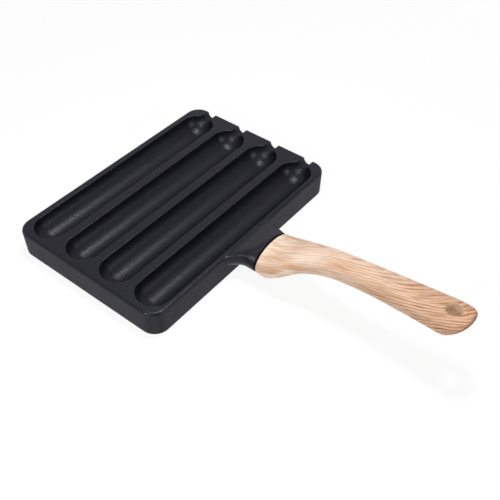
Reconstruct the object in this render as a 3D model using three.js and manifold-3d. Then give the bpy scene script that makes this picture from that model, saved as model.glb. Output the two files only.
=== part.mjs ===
// Hot dog bun pan: a cast pan with long half-round troughs, a stick notch at the end of each
// trough, and a wooden handle held on a boss at the pan's side.
//
// Millimetres, +Z up. X runs across the troughs towards the handle, Y runs along them towards
// the notched edge. The origin is in the plane that the pan stands on, under the middle of the
// row of troughs and in line with the handle.

import * as THREE from 'three';
import { mergeVertices } from 'three/addons/utils/BufferGeometryUtils.js';
import Module from 'manifold-3d';

// Troughs
const TROUGH_COUNT = 4;
const TROUGH_WIDTH = 31.6;
const TROUGH_LENGTH = 220;
const RIB_WIDTH = 8.4;
const FLOOR_THICKNESS = 9.2;

// Pan round the troughs
const FREE_MARGIN = 7.2;
const HANDLE_MARGIN = 4.8;
const NEAR_MARGIN = 6.8;
const FAR_MARGIN = 10.5;
const HANDLE_OFFSET = 1;
const CORNER_RADIUS = 14.2;
const WALL_DRAFT = 0.5;
const RIM_EDGE_RADIUS = 2.8;
const BASE_EDGE_RADIUS = 0.8;

// Underside: hollow between the skirt and the trough shells, which stand on flat pads
const SKIRT_WALL = 4.5;
const TROUGH_WALL = 4;
const RIB_DEPTH = 8;
const PAD_WIDTH = 12;
const WEB_THICKNESS = 6;

// Stick notches through the far wall
const NOTCH_WIDTH = 10.4;
const NOTCH_DEPTH = 6.6;
const NOTCH_OFFSET = -1.3;

// Oval joint between the boss and the handle
const JOINT_WIDTH = 46.2;
const JOINT_DEPTH = 28.8;
const JOINT_DROP = 5.2;
const BOSS_LENGTH = 21.7;
const BOSS_FLARE = 14;
const BOSS_FLARE_LENGTH = 16;
const BOSS_ROOT_FULLNESS = 8;
const BOSS_ROOT_SINK = 0.02;
const GASKET_THICKNESS = 1.8;
const GASKET_INSET = 0.5;

// Handle sections from the root to the start of the rounded end: distance from the root, rise of
// the centreline above the joint, width and depth
const BELLY = { at: 8.5, rise: 0.6, width: 47.4, depth: 29 };
const SHOULDER = { at: 20.5, rise: 6.7, width: 43.6, depth: 26 };
const THROAT = { at: 35.5, rise: 16.5, width: 32.7, depth: 22.4 };
const NECK = { at: 55.5, rise: 24.9, width: 25.8, depth: 20.6 };
const WAIST = { at: 85.5, rise: 30.4, width: 24, depth: 20 };
const GRIP = { at: 125.5, rise: 33.8, width: 27.8, depth: 20.4 };
const PALM = { at: 155.5, rise: 35.5, width: 32.2, depth: 20.5 };

// Rounded end of the handle, which leans out towards the top
const END_ROUNDING = 13;
const END_LEAN = 1;
const END_FULLNESS = 5;
const SECTION_FULLNESS = 2.15;

// Hang hole, measured back from the tip of the handle
const HANG_HOLE_DIAMETER = 12.5;
const HANG_HOLE_SETBACK = 16;

// Hidden fastening
const STUD_DIAMETER = 8;
const STUD_IN_BOSS = 16;
const INSERT_WALL = 1.5;
const INSERT_LENGTH = 14;
const PIN_DIAMETER = 4;
const PIN_IN_BOSS = 8;
const PIN_IN_HANDLE = 7;
const PIN_EDGE_DISTANCE = 9;
const END_CHAMFER = 0.8;

// Clearances: faces that touch, a fastener in its hole, and the room past a fastener's end
const FACE_GAP = 0.1;
const FIT_GAP = 0.3;
const END_GAP = 1.5;

// How far a cutting shape runs past the surface that it cuts
const OVERCUT = 2;

// Facets
const ROUND_SEGMENTS = 32;
const CAP_SEGMENTS = 8;
const CORNER_SEGMENTS = 8;
const EDGE_SEGMENTS = 3;
const SECTION_POINTS = 40;
const BOSS_STEPS = 12;
const HANDLE_STEPS = 26;
const END_STEPS = 8;

// Sizes that follow
const TROUGH_RADIUS = TROUGH_WIDTH / 2;
const TROUGH_PITCH = TROUGH_WIDTH + RIB_WIDTH;
const PAN_HEIGHT = TROUGH_RADIUS + FLOOR_THICKNESS;
const TROUGH_CENTRE_Y = -HANDLE_OFFSET;
const ROW_HALF = TROUGH_PITCH * (TROUGH_COUNT - 1) / 2 + TROUGH_RADIUS;
const FREE_X = -ROW_HALF - FREE_MARGIN;
const WALL_X = ROW_HALF + HANDLE_MARGIN;
const NEAR_Y = TROUGH_CENTRE_Y - TROUGH_LENGTH / 2 - NEAR_MARGIN;
const FAR_Y = TROUGH_CENTRE_Y + TROUGH_LENGTH / 2 + FAR_MARGIN;
const PAN_CENTRE_X = (FREE_X + WALL_X) / 2;
const PAN_CENTRE_Y = (NEAR_Y + FAR_Y) / 2;
const BOSS_FACE_X = WALL_X + BOSS_LENGTH;
const HANDLE_ROOT_X = BOSS_FACE_X + GASKET_THICKNESS + 2 * FACE_GAP;
const JOINT_HEIGHT = PAN_HEIGHT - JOINT_DROP;
const INSERT_DIAMETER = STUD_DIAMETER + 2 * (FIT_GAP + INSERT_WALL);
const PIN_OFFSET = JOINT_WIDTH / 2 - PIN_EDGE_DISTANCE;

const wasm = await Module();
wasm.setup();

// Closed solid of a geometry. Triangles that shrink to a line where a profile meets its axis are
// left out.
function solidOf(geometry) {
  const bare = geometry.clone();
  bare.deleteAttribute('normal');
  bare.deleteAttribute('uv');
  const merged = mergeVertices(bare, 1e-4);
  const corners = merged.index.array;
  const triangles = [];
  for (let i = 0; i < corners.length; i += 3) {
    const [a, b, c] = corners.slice(i, i + 3);
    if (a !== b && b !== c && c !== a) {
      triangles.push(a, b, c);
    }
  }
  const vertProperties = Float32Array.from(merged.attributes.position.array);
  const triVerts = Uint32Array.from(triangles);
  return new wasm.Manifold(new wasm.Mesh({ numProp: 3, vertProperties, triVerts }));
}

// Flat-shaded geometry of a solid
function geometryOf(solid) {
  const mesh = solid.getMesh();
  const indexed = new THREE.BufferGeometry();
  indexed.setAttribute('position', new THREE.BufferAttribute(mesh.vertProperties, 3));
  indexed.setIndex(new THREE.BufferAttribute(mesh.triVerts, 1));
  const geometry = indexed.toNonIndexed();
  geometry.computeVertexNormals();
  return geometry;
}

// Closed skin over rings of points. Each ring turns right-handed about the way that the rings
// follow one another, and both ends are closed by a fan of triangles.
function loft(rings) {
  const count = rings[0].length;
  const points = rings.flat();
  const index = [];
  for (let i = 0; i + 1 < rings.length; i += 1) {
    for (let j = 0; j < count; j += 1) {
      const k = (j + 1) % count;
      const [a, b] = [i * count + j, i * count + k];
      index.push(a, b, b + count, a, b + count, a + count);
    }
  }
  const middle = (ring) => ring.reduce((sum, p) => sum.add(p), new THREE.Vector3()).divideScalar(count);
  points.push(middle(rings[0]), middle(rings[rings.length - 1]));
  const last = (rings.length - 1) * count;
  for (let j = 0; j < count; j += 1) {
    const k = (j + 1) % count;
    index.push(points.length - 2, k, j);
    index.push(points.length - 1, last + j, last + k);
  }
  const geometry = new THREE.BufferGeometry().setFromPoints(points);
  geometry.setIndex(index);
  return geometry;
}

// Ring of the pan's outline drawn in by an inset, level at height z
function panRing(inset, z) {
  const radius = Math.max(CORNER_RADIUS - inset, 0.5);
  const straightX = (WALL_X - FREE_X) / 2 - inset - radius;
  const straightY = (FAR_Y - NEAR_Y) / 2 - inset - radius;
  const ring = [];
  for (let corner = 0; corner < 4; corner += 1) {
    const centreX = corner === 0 || corner === 3 ? straightX : -straightX;
    const centreY = corner < 2 ? straightY : -straightY;
    for (let step = 0; step <= CORNER_SEGMENTS; step += 1) {
      const angle = (corner + step / CORNER_SEGMENTS) * Math.PI / 2;
      const x = PAN_CENTRE_X + centreX + radius * Math.cos(angle);
      const y = PAN_CENTRE_Y + centreY + radius * Math.sin(angle);
      ring.push(new THREE.Vector3(x, y, z));
    }
  }
  return ring;
}

// Inset of the drafted wall at height z
function draftAt(z) {
  return WALL_DRAFT * (1 - z / PAN_HEIGHT);
}

// Outside of the pan: a drafted block with round edges at its base and its rim
function panBlock() {
  const rings = [];
  for (let step = 0; step <= EDGE_SEGMENTS; step += 1) {
    const angle = step / EDGE_SEGMENTS * Math.PI / 2;
    const z = BASE_EDGE_RADIUS * (1 - Math.cos(angle));
    rings.push(panRing(draftAt(z) + BASE_EDGE_RADIUS * (1 - Math.sin(angle)), z));
  }
  for (let step = 0; step <= EDGE_SEGMENTS; step += 1) {
    const angle = step / EDGE_SEGMENTS * Math.PI / 2;
    const z = PAN_HEIGHT - RIM_EDGE_RADIUS * (1 - Math.sin(angle));
    rings.push(panRing(draftAt(z) + RIM_EDGE_RADIUS * (1 - Math.cos(angle)), z));
  }
  return solidOf(loft(rings));
}

// Centre of each trough along X
function troughCentres() {
  const first = -TROUGH_PITCH * (TROUGH_COUNT - 1) / 2;
  return Array.from({ length: TROUGH_COUNT }, (_, i) => first + i * TROUGH_PITCH);
}

// Round-ended bar along Y, centred on the rim plane: a trough, or with a wall added its shell
function troughBar(x, wall) {
  const straight = TROUGH_LENGTH - TROUGH_WIDTH;
  const bar = new THREE.CapsuleGeometry(TROUGH_RADIUS + wall, straight, CAP_SEGMENTS, ROUND_SEGMENTS);
  bar.translate(x, TROUGH_CENTRE_Y, PAN_HEIGHT);
  return solidOf(bar);
}

// Half-round channel from a trough out through the far wall, a little off the trough's middle
function notchBar(x) {
  const radius = NOTCH_WIDTH / 2;
  const centre = PAN_HEIGHT - NOTCH_DEPTH + radius;
  const outline = new THREE.Shape();
  outline.moveTo(-radius, PAN_HEIGHT + OVERCUT);
  outline.lineTo(-radius, centre);
  outline.absarc(0, centre, radius, Math.PI, 2 * Math.PI, false);
  outline.lineTo(radius, PAN_HEIGHT + OVERCUT);
  outline.closePath();
  const depth = FAR_MARGIN + TROUGH_RADIUS + OVERCUT;
  const bar = new THREE.ExtrudeGeometry(outline, {
    depth, bevelEnabled: false, curveSegments: ROUND_SEGMENTS / 2,
  });
  bar.rotateX(Math.PI / 2);
  bar.translate(x + NOTCH_OFFSET, FAR_Y + OVERCUT, 0);
  return solidOf(bar);
}

// Block centred on x and y, standing on the given height
function block(x, y, z, sizeX, sizeY, sizeZ) {
  const box = new THREE.BoxGeometry(sizeX, sizeY, sizeZ);
  box.translate(x, y, z + sizeZ / 2);
  return solidOf(box);
}

// Space under the pan: inside the skirt and under the ribs, less the trough shells, the pads they
// stand on and the web in line with the handle
function undersideHollow() {
  const inset = WALL_DRAFT + SKIRT_WALL;
  const ceiling = PAN_HEIGHT - RIB_DEPTH;
  let hollow = solidOf(loft([panRing(inset, -OVERCUT), panRing(inset, ceiling)]));
  for (const x of troughCentres()) {
    const padLength = TROUGH_LENGTH - TROUGH_WIDTH + PAD_WIDTH;
    hollow = hollow.subtract(troughBar(x, TROUGH_WALL));
    hollow = hollow.subtract(
      block(x, TROUGH_CENTRE_Y, -2 * OVERCUT, PAD_WIDTH, padLength, PAN_HEIGHT));
  }
  hollow = hollow.subtract(
    block(PAN_CENTRE_X, 0, -2 * OVERCUT, WALL_X - FREE_X, WEB_THICKNESS, PAN_HEIGHT + OVERCUT));
  return hollow;
}

// Ring of an oval section across X. Half sizes are along Y and Z, lean moves the top of the
// section further along X than its foot, and fullness 2 is an ellipse.
function ovalRing(x, centreZ, halfWidth, halfDepth, fullness, lean = 0) {
  const power = (value) => Math.sign(value) * Math.abs(value) ** (2 / fullness);
  return Array.from({ length: SECTION_POINTS }, (_, i) => {
    const angle = i / SECTION_POINTS * 2 * Math.PI;
    const y = halfWidth * power(Math.cos(angle));
    const z = halfDepth * power(Math.sin(angle));
    return new THREE.Vector3(x + lean * z, y, centreZ + z);
  });
}

// Ring of the boss across X: an ellipse at the joint, whose upper half widens, squares off and
// sinks to the rim towards the wall
function bossRing(x) {
  const along = THREE.MathUtils.clamp((x - WALL_X) / BOSS_LENGTH, 0, 1);
  const rise = (along + THREE.MathUtils.smoothstep(along, 0, 1)) / 2;
  const nearRim = Math.max(1 - (x - WALL_X + RIM_EDGE_RADIUS) / BOSS_FLARE_LENGTH, 0);
  const halfWidth = JOINT_WIDTH / 2 + BOSS_FLARE * nearRim ** 2;
  const below = JOINT_DEPTH / 2;
  const above = THREE.MathUtils.lerp(JOINT_DROP - BOSS_ROOT_SINK, below, rise);
  const power = 2 / THREE.MathUtils.lerp(BOSS_ROOT_FULLNESS, 2, 1 - (1 - along) ** 1.5);
  return Array.from({ length: SECTION_POINTS }, (_, i) => {
    const angle = i / SECTION_POINTS * 2 * Math.PI;
    const [cos, sin] = [Math.cos(angle), Math.sin(angle)];
    const y = halfWidth * (sin > 0 ? Math.sign(cos) * Math.abs(cos) ** power : cos);
    const z = sin > 0 ? above * sin ** power : below * sin;
    return new THREE.Vector3(x, y, JOINT_HEIGHT + z);
  });
}

// Boss from inside the rim's edge to the joint
function bossBlock() {
  const root = WALL_X - RIM_EDGE_RADIUS;
  const rings = Array.from({ length: BOSS_STEPS + 1 }, (_, i) => (
    bossRing(THREE.MathUtils.lerp(root, BOSS_FACE_X, i / BOSS_STEPS))));
  return solidOf(loft(rings));
}

// Round bar along X from one place to another, at the joint's height
function barAlongX(fromX, toX, diameter, y = 0) {
  const bar = new THREE.CylinderGeometry(diameter / 2, diameter / 2, toX - fromX, ROUND_SEGMENTS / 2);
  bar.rotateZ(Math.PI / 2);
  bar.translate((fromX + toX) / 2, y, JOINT_HEIGHT);
  return solidOf(bar);
}

function panBody() {
  let body = panBlock().subtract(undersideHollow()).add(bossBlock());
  for (const x of troughCentres()) {
    body = body.subtract(troughBar(x, 0)).subtract(notchBar(x));
  }
  const studEnd = BOSS_FACE_X - STUD_IN_BOSS - END_GAP;
  const pinEnd = BOSS_FACE_X - PIN_IN_BOSS - END_GAP;
  const mouth = BOSS_FACE_X + OVERCUT;
  body = body.subtract(barAlongX(studEnd, mouth, STUD_DIAMETER + 2 * FIT_GAP));
  body = body.subtract(barAlongX(pinEnd, mouth, PIN_DIAMETER + 2 * FIT_GAP, PIN_OFFSET));
  return geometryOf(body);
}

function heatGasket() {
  const halfWidth = JOINT_WIDTH / 2 - GASKET_INSET;
  const halfDepth = JOINT_DEPTH / 2 - GASKET_INSET;
  const from = BOSS_FACE_X + FACE_GAP;
  const to = from + GASKET_THICKNESS;
  const rings = [from, to].map((x) => ovalRing(x, JOINT_HEIGHT, halfWidth, halfDepth, 2));
  let gasket = solidOf(loft(rings));
  gasket = gasket.subtract(barAlongX(from - OVERCUT, to + OVERCUT, STUD_DIAMETER + 2 * FIT_GAP));
  gasket = gasket.subtract(
    barAlongX(from - OVERCUT, to + OVERCUT, PIN_DIAMETER + 2 * FIT_GAP, PIN_OFFSET));
  return geometryOf(gasket);
}

// Handle: oval sections along a smooth curve through the named ones, then the rounded end
function handleBlock() {
  const root = { at: 0, rise: 0, width: JOINT_WIDTH, depth: JOINT_DEPTH };
  const sections = [root, BELLY, SHOULDER, THROAT, NECK, WAIST, GRIP, PALM];
  const places = sections.map((s) => s.at);
  const sizes = sections.flatMap((s) => [s.rise, s.width / 2, s.depth / 2]);
  const curve = new THREE.CubicInterpolant(places, sizes, 3);
  const rings = [];
  for (let step = 0; step <= HANDLE_STEPS; step += 1) {
    const at = step / HANDLE_STEPS * PALM.at;
    const [rise, halfWidth, halfDepth] = curve.evaluate(at);
    const fullness = THREE.MathUtils.lerp(2, SECTION_FULLNESS, Math.min(at / BELLY.at, 1));
    rings.push(ovalRing(HANDLE_ROOT_X + at, JOINT_HEIGHT + rise, halfWidth, halfDepth, fullness));
  }
  const slope = (PALM.rise - GRIP.rise) / (PALM.at - GRIP.at);
  for (let step = 1; step < END_STEPS; step += 1) {
    const along = 1 - (1 - step / END_STEPS) ** 2;
    const shrink = (1 - along ** END_FULLNESS) ** (1 / END_FULLNESS);
    const x = HANDLE_ROOT_X + PALM.at + along * END_ROUNDING;
    const z = JOINT_HEIGHT + PALM.rise + slope * along * END_ROUNDING;
    const halfWidth = PALM.width / 2 * shrink;
    const halfDepth = PALM.depth / 2 * shrink;
    rings.push(ovalRing(x, z, halfWidth, halfDepth, SECTION_FULLNESS, END_LEAN * along));
  }
  return solidOf(loft(rings));
}

// Furthest point of a solid along X
function reachX(solid) {
  return solid.boundingBox().max[0];
}

function handle() {
  let wood = handleBlock();
  const holeX = reachX(wood) - HANG_HOLE_SETBACK;
  const height = 2 * (PALM.rise + PALM.depth);
  const hole = new THREE.CylinderGeometry(
    HANG_HOLE_DIAMETER / 2, HANG_HOLE_DIAMETER / 2, height, ROUND_SEGMENTS);
  hole.rotateX(Math.PI / 2);
  hole.translate(holeX, 0, JOINT_HEIGHT + PALM.rise);
  wood = wood.subtract(solidOf(hole));
  const mouth = HANDLE_ROOT_X - OVERCUT;
  const insertEnd = HANDLE_ROOT_X + INSERT_LENGTH + END_GAP;
  const pinEnd = HANDLE_ROOT_X + PIN_IN_HANDLE + END_GAP;
  wood = wood.subtract(barAlongX(mouth, insertEnd, INSERT_DIAMETER + 2 * FIT_GAP));
  wood = wood.subtract(barAlongX(mouth, pinEnd, PIN_DIAMETER + 2 * FIT_GAP, PIN_OFFSET));
  return geometryOf(wood);
}

// Turned piece along +X: profile points are [radius, distance from its start]
function turned(profile, startX, y = 0) {
  const points = profile.map(([radius, along]) => new THREE.Vector2(radius, along));
  const piece = new THREE.LatheGeometry(points, ROUND_SEGMENTS / 2);
  piece.rotateZ(-Math.PI / 2);
  piece.translate(startX, y, JOINT_HEIGHT);
  return geometryOf(solidOf(piece));
}

// Plain bar with chamfered ends
function chamferedBar(diameter, startX, endX, y) {
  const radius = diameter / 2;
  const length = endX - startX;
  const profile = [
    [0, 0], [radius - END_CHAMFER, 0], [radius, END_CHAMFER],
    [radius, length - END_CHAMFER], [radius - END_CHAMFER, length], [0, length],
  ];
  return turned(profile, startX, y);
}

function handleStud() {
  return chamferedBar(STUD_DIAMETER, BOSS_FACE_X - STUD_IN_BOSS, HANDLE_ROOT_X + INSERT_LENGTH, 0);
}

function threadedInsert() {
  const inner = STUD_DIAMETER / 2 + FIT_GAP;
  const outer = INSERT_DIAMETER / 2;
  const start = HANDLE_ROOT_X + FIT_GAP;
  const length = INSERT_LENGTH - FIT_GAP;
  const profile = [
    [inner, 0], [outer - END_CHAMFER, 0], [outer, END_CHAMFER],
    [outer, length], [inner, length], [inner, 0],
  ];
  return turned(profile, start);
}

function locatingPin() {
  return chamferedBar(
    PIN_DIAMETER, BOSS_FACE_X - PIN_IN_BOSS, HANDLE_ROOT_X + PIN_IN_HANDLE, PIN_OFFSET);
}

function material(color, roughness, metalness) {
  return new THREE.MeshStandardMaterial({ color, roughness, metalness });
}

const coatedAluminium = material(0x303036, 0.5, 0.1);
const paleWood = material(0xe6c1a2, 0.6, 0);
const blackSilicone = material(0x121214, 0.7, 0);
const zincSteel = material(0xb9bcc0, 0.35, 1);
const brass = material(0xc9a350, 0.35, 1);

const pan = new THREE.Group();

function addPiece(name, geometry, surface) {
  const mesh = new THREE.Mesh(geometry, surface);
  mesh.name = name;
  pan.add(mesh);
}

addPiece('pan_body', panBody(), coatedAluminium);
addPiece('heat_gasket', heatGasket(), blackSilicone);
addPiece('handle', handle(), paleWood);
addPiece('handle_stud', handleStud(), zincSteel);
addPiece('threaded_insert', threadedInsert(), brass);
addPiece('locating_pin', locatingPin(), zincSteel);

export default pan;
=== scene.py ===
import math

import bmesh
import bpy
import numpy as np
from bpy.props import FloatProperty, FloatVectorProperty, IntProperty, PointerProperty
from mathutils import Matrix, Vector
from mathutils.bvhtree import BVHTree


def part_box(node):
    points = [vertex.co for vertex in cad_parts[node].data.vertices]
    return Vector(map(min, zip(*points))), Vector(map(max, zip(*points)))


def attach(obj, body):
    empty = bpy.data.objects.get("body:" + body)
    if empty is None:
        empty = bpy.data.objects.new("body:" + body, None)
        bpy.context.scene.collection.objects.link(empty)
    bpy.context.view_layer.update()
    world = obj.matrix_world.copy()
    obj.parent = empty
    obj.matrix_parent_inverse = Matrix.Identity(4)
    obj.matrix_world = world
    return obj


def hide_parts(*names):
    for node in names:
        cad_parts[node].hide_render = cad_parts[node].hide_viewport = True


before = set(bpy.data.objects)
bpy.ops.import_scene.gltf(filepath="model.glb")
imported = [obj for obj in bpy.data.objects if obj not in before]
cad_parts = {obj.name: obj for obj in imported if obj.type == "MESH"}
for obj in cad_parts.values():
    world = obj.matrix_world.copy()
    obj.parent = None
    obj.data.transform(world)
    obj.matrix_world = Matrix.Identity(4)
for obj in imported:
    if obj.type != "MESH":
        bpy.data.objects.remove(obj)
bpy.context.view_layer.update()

bl_info = {
    "name": "Hot Dog Bun Pan",
    "version": (1, 0, 0),
    "blender": (4, 5, 0),
    "location": "3D View > Sidebar > Bun Pan",
    "description": "Builds a cast four-trough hot dog bun pan with a wooden handle",
    "category": "Add Mesh",
}

MM = 0.001

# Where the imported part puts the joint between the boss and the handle, and its hidden fastening
GASKET_LOW, GASKET_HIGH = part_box("heat_gasket")
HANDLE_LOW, HANDLE_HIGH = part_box("handle")
STUD_LOW, STUD_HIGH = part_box("handle_stud")
INSERT_LOW, INSERT_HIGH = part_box("threaded_insert")
PIN_LOW, PIN_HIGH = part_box("locating_pin")
JOINT_Z = (GASKET_LOW.z + GASKET_HIGH.z) / 2

# Room round a fastener and past its end, as in the part
FIT_GAP = 0.3 * MM
END_GAP = 1.5 * MM

# Sections of the handle, in mm: way along it, rise of its middle, width and depth
HANDLE_SECTIONS = (
    (0.0, 0.0, 46.2, 28.8),
    (8.5, 0.6, 47.4, 29.0),
    (20.5, 6.7, 43.6, 26.0),
    (35.5, 16.5, 32.7, 22.4),
    (55.5, 24.9, 25.8, 20.6),
    (85.5, 30.4, 24.0, 20.0),
    (125.5, 33.8, 27.8, 20.4),
    (155.5, 35.5, 32.2, 20.5),
)
BELLY_AT = HANDLE_SECTIONS[1][0] * MM
GRIP_END = HANDLE_SECTIONS[-1][0] * MM
END_SLOPE = ((HANDLE_SECTIONS[-1][1] - HANDLE_SECTIONS[-2][1])
             / (HANDLE_SECTIONS[-1][0] - HANDLE_SECTIONS[-2][0]))
END_LENGTH = 13 * MM

# Fullness of the oval sections, where 2 is an ellipse, and how soon the boss gets rounder
ROOT_FULLNESS, GRIP_FULLNESS, END_FULLNESS, BOSS_FULLNESS = 2.0, 2.15, 5.0, 8.0
BOSS_EASE = 1.5

# The boss's top lies this much under the rim, and its side counts as boss this far past the wall
RIM_STEP = 0.02 * MM
BOSS_START = 1 * MM

# Under the pan: edge of the hollow, round of its ceiling, how far pads and web widen up to it, the
# most of the web that its edges take up, and its nearly sharp corners
HOLLOW_LIP = 1 * MM
HOLLOW_ROUND = 2 * MM
PAD_FLARE = 0.8 * MM
WEB_EDGE = 0.9
SHARP_CORNER = 0.01 * MM

# How a rounded edge leaves the surface that it is cut from: nearly level, then straight on past it
LIP_TURN = math.radians(80)
RUN_OUT = 0.15 * MM
REACH = 6 * MM

# Depth of the stud's thread as a share of its pitch, depth of the insert's, and bevel of the pin
STUD_THREAD = 0.61
INSERT_THREAD = 0.9 * MM
PIN_BEVEL = 0.8 * MM

# Fineness of the meshes, distances at which points are one, and angles past which an edge is crisp
CORNER_STEPS = 20
EDGE_STEPS = 7
BOWL_STEPS = 30
BOWL_SEGMENTS = 112
BORE_SEGMENTS = 48
BOSS_STEPS = 26
OVAL_POINTS = 112
HANDLE_STEPS = 90
END_STEPS = 26
HOLE_SEGMENTS = 72
THREAD_SEGMENTS = 40
THREAD_STEPS = 10
MERGE, SEAM_MERGE = 1e-7, 1e-6
PAN_CREASE = math.radians(32)
HANDLE_CREASE = math.radians(40)
FASTENING_CREASE = math.radians(30)

# Names of the values that materials read
OUTER_WALL, GRAIN_PLACE, BURNISH, BORE_PAINTED_LIGHT = "outer_wall", "grain_place", "burnish", "bored"

# The usual range of a noise
NOISE_SPAN = (0.3, 0.7)

# Coating: sizes of its flecks, mottle and pebbles, the pebbles' height, the noise that is fleck, the
# roughness, what the outer walls add to it, and the bluish tint of its highlights
FLECK_SIZE, MOTTLE_SIZE, PEBBLE_SIZE, PEBBLE_HEIGHT = 1.1 * MM, 14 * MM, 1.5 * MM, 0.22 * MM
FLECK_SPAN = (0.5, 0.72)
COATING_ROUGHNESS = (0.34, 0.39)
WALL_ROUGHNESS = 0.2
COATING_TINT = (0.88, 0.87, 1.0, 1.0)

# Growth layers: the pith's place beside and above the handle's line, the layers' rise and the way
# over which it grows e-fold, their spacing, and their sways (size, stretch along, depth)
PITH = (20 * MM, 42 * MM)
LAYER_RISE = (2.6 * MM, 70 * MM)
LAYER_SPACING = 2.2 * MM
LAYER_SWAY = ((16 * MM, 0.2, 5 * MM), (4 * MM, 0.12, 0.9 * MM))

# Dark line of a layer: the shares of the layer where it has faded and where the next one starts, its
# least weight, and its most, which grows between two ways along the handle, as the wood gets darker
LINE_END, LINE_START = 0.45, 0.9
FAINTEST = 0.15
BOLDNESS = (0.3, 1.5)
ENDWARD_DARKENING = (30 * MM, 170 * MM)

# Fibres and tone clouds: size, stretch along and the noise that shows, and the depth of the pores
FIBRE_SIZE, FIBRE_STRETCH, FIBRE_SPAN = 0.8 * MM, 0.05, (0.48, 0.75)
CLOUD_SIZE, CLOUD_STRETCH, CLOUD_SPAN = 6 * MM, 0.15, (0.4, 0.7)
PORE_DEPTH = 0.05 * MM

# The grain follows the handle's line, eased over this way to both sides and led on past the root at
# a slope; the shares of the end where burnishing starts and is full; the share of the hang hole's
# paler colour, bare wood lightened further as painted light on the hole's shaded wall, which fades
# over half of its lip
GRAIN_EASE = 18 * MM
EASE_STEPS = 9
ROOT_SLOPE = 0.45
TIP_EDGE = (0.76, 0.88)
BORE_LIGHT_SHARE = 0.85

# Size of the bloom on silicone and its roughness, size of dull patches on metal and its roughness
BLOOM_SIZE, PATCH_SIZE = 2 * MM, 3 * MM
SILICONE_ROUGHNESS = (0.6, 0.8)
ZINC_ROUGHNESS = (0.28, 0.45)
BRASS_ROUGHNESS = (0.22, 0.36)


def linear(hex_colour):
    """The linear colour that Blender's sockets hold, from an sRGB hex value."""
    channels = [int(hex_colour[i:i + 2], 16) / 255 for i in (1, 3, 5)]
    return tuple(c / 12.92 if c <= 0.04045 else ((c + 0.055) / 1.055) ** 2.4 for c in channels)


def length(name, millimetres, description):
    """A size that the sidebar shows in the scene's unit of length."""
    return FloatProperty(name=name, description=description, default=millimetres * MM,
                         precision=4, unit="LENGTH")


def colour(name, hex_colour, description):
    """A colour that the sidebar shows as a swatch."""
    return FloatVectorProperty(name=name, description=description, default=linear(hex_colour),
                               size=3, min=0.0, max=1.0, subtype="COLOR")


def level(name, value, description):
    """A plain number, such as a share or a strength."""
    return FloatProperty(name=name, description=description, default=value, min=0.0)


class BunPanBody(bpy.types.PropertyGroup):
    """Sizes of the cast pan"""

    trough_count: IntProperty(name="Troughs", description="How many troughs lie side by side",
                              default=4, min=1)
    trough_pitch: length("Trough pitch", 40, "From the middle of one trough to the next")
    trough_radius: length("Trough radius", 15.8, "Half the width of a trough at the rim")
    trough_length: length("Trough length", 220, "Length of a trough over its round ends")
    trough_lip: length("Trough lip", 0.8, "Radius of the edge between a trough and the rim")
    free_margin: length("Free margin", 7.2, "Rim outside the last trough, away from the handle")
    handle_margin: length("Handle margin", 4.8, "Rim outside the last trough, beside the handle")
    near_margin: length("Near margin", 6.8, "Rim at the troughs' plain ends")
    far_margin: length("Far margin", 10.5, "Rim at the troughs' notched ends")
    handle_offset: length("Handle offset", 1, "From the troughs' middle to the handle's line")
    pan_height: length("Height", 25, "Height of the rim")
    corner_radius: length("Corner radius", 14.2, "Radius of the rim's four corners")
    wall_draft: length("Wall draft", 0.5, "How much narrower each side is at the base")
    rim_radius: length("Rim edge radius", 2.8, "Radius of the edge between the rim and the wall")
    base_radius: length("Base edge radius", 0.8, "Radius of the edge under the wall")
    notch_radius: length("Notch radius", 5.2, "Radius of the stick notch at a trough's far end")
    notch_depth: length("Notch depth", 6.6, "Depth of the stick notch below the rim")
    notch_shift: length("Notch shift", -1.3, "How far a notch stands off its trough's middle")
    notch_lip: length("Notch lip", 0.35, "Radius of the notch's edges on the rim and the wall")
    notch_throat: length("Notch throat", 1.2, "Radius of the notch's edge in the trough")
    skirt_wall: length("Skirt wall", 4.5, "Thickness of the outer wall under the rim")
    trough_wall: length("Trough wall", 4, "Thickness of a trough's shell")
    rib_depth: length("Rib depth", 8, "Thickness of the metal under a rib")
    pad_width: length("Pad width", 12, "Width of the flat pad under a trough")
    web_thickness: length("Web thickness", 6, "Thickness of the cross web under the pan")
    boss_length: length("Boss length", 21.7, "How far the boss stands out from the wall")
    boss_flare: length("Boss flare", 14, "How much wider each side of the boss is at the rim")
    flare_length: length("Flare length", 16, "How far from the rim the boss is drawn in")
    boss_edge: length("Boss edge", 0.5, "Radius of the edge round the boss's face")
    joint_width: length("Joint width", 46.2, "Width of the joint between boss and handle")
    joint_depth: length("Joint depth", 28.8, "Depth of the joint between boss and handle")


class BunPanHandle(bpy.types.PropertyGroup):
    """Sizes of the wooden handle and what is in its joint"""

    hole_radius: length("Hang hole radius", 6.25, "Radius of the hole at the handle's end")
    hole_setback: length("Hang hole setback", 16, "From the handle's tip to the hole's middle")
    hole_lip: length("Hang hole lip", 1.3, "Radius of the hole's edges")
    root_edge: length("Root edge", 0.5, "Radius of the handle's edge at the joint")
    gasket_edge: length("Gasket edge", 0.3, "Radius of the gasket's edge")
    stud_pitch: length("Stud pitch", 1.25, "Pitch of the stud's thread")
    insert_pitch: length("Insert pitch", 2.5, "Pitch of the insert's wood thread")


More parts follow.
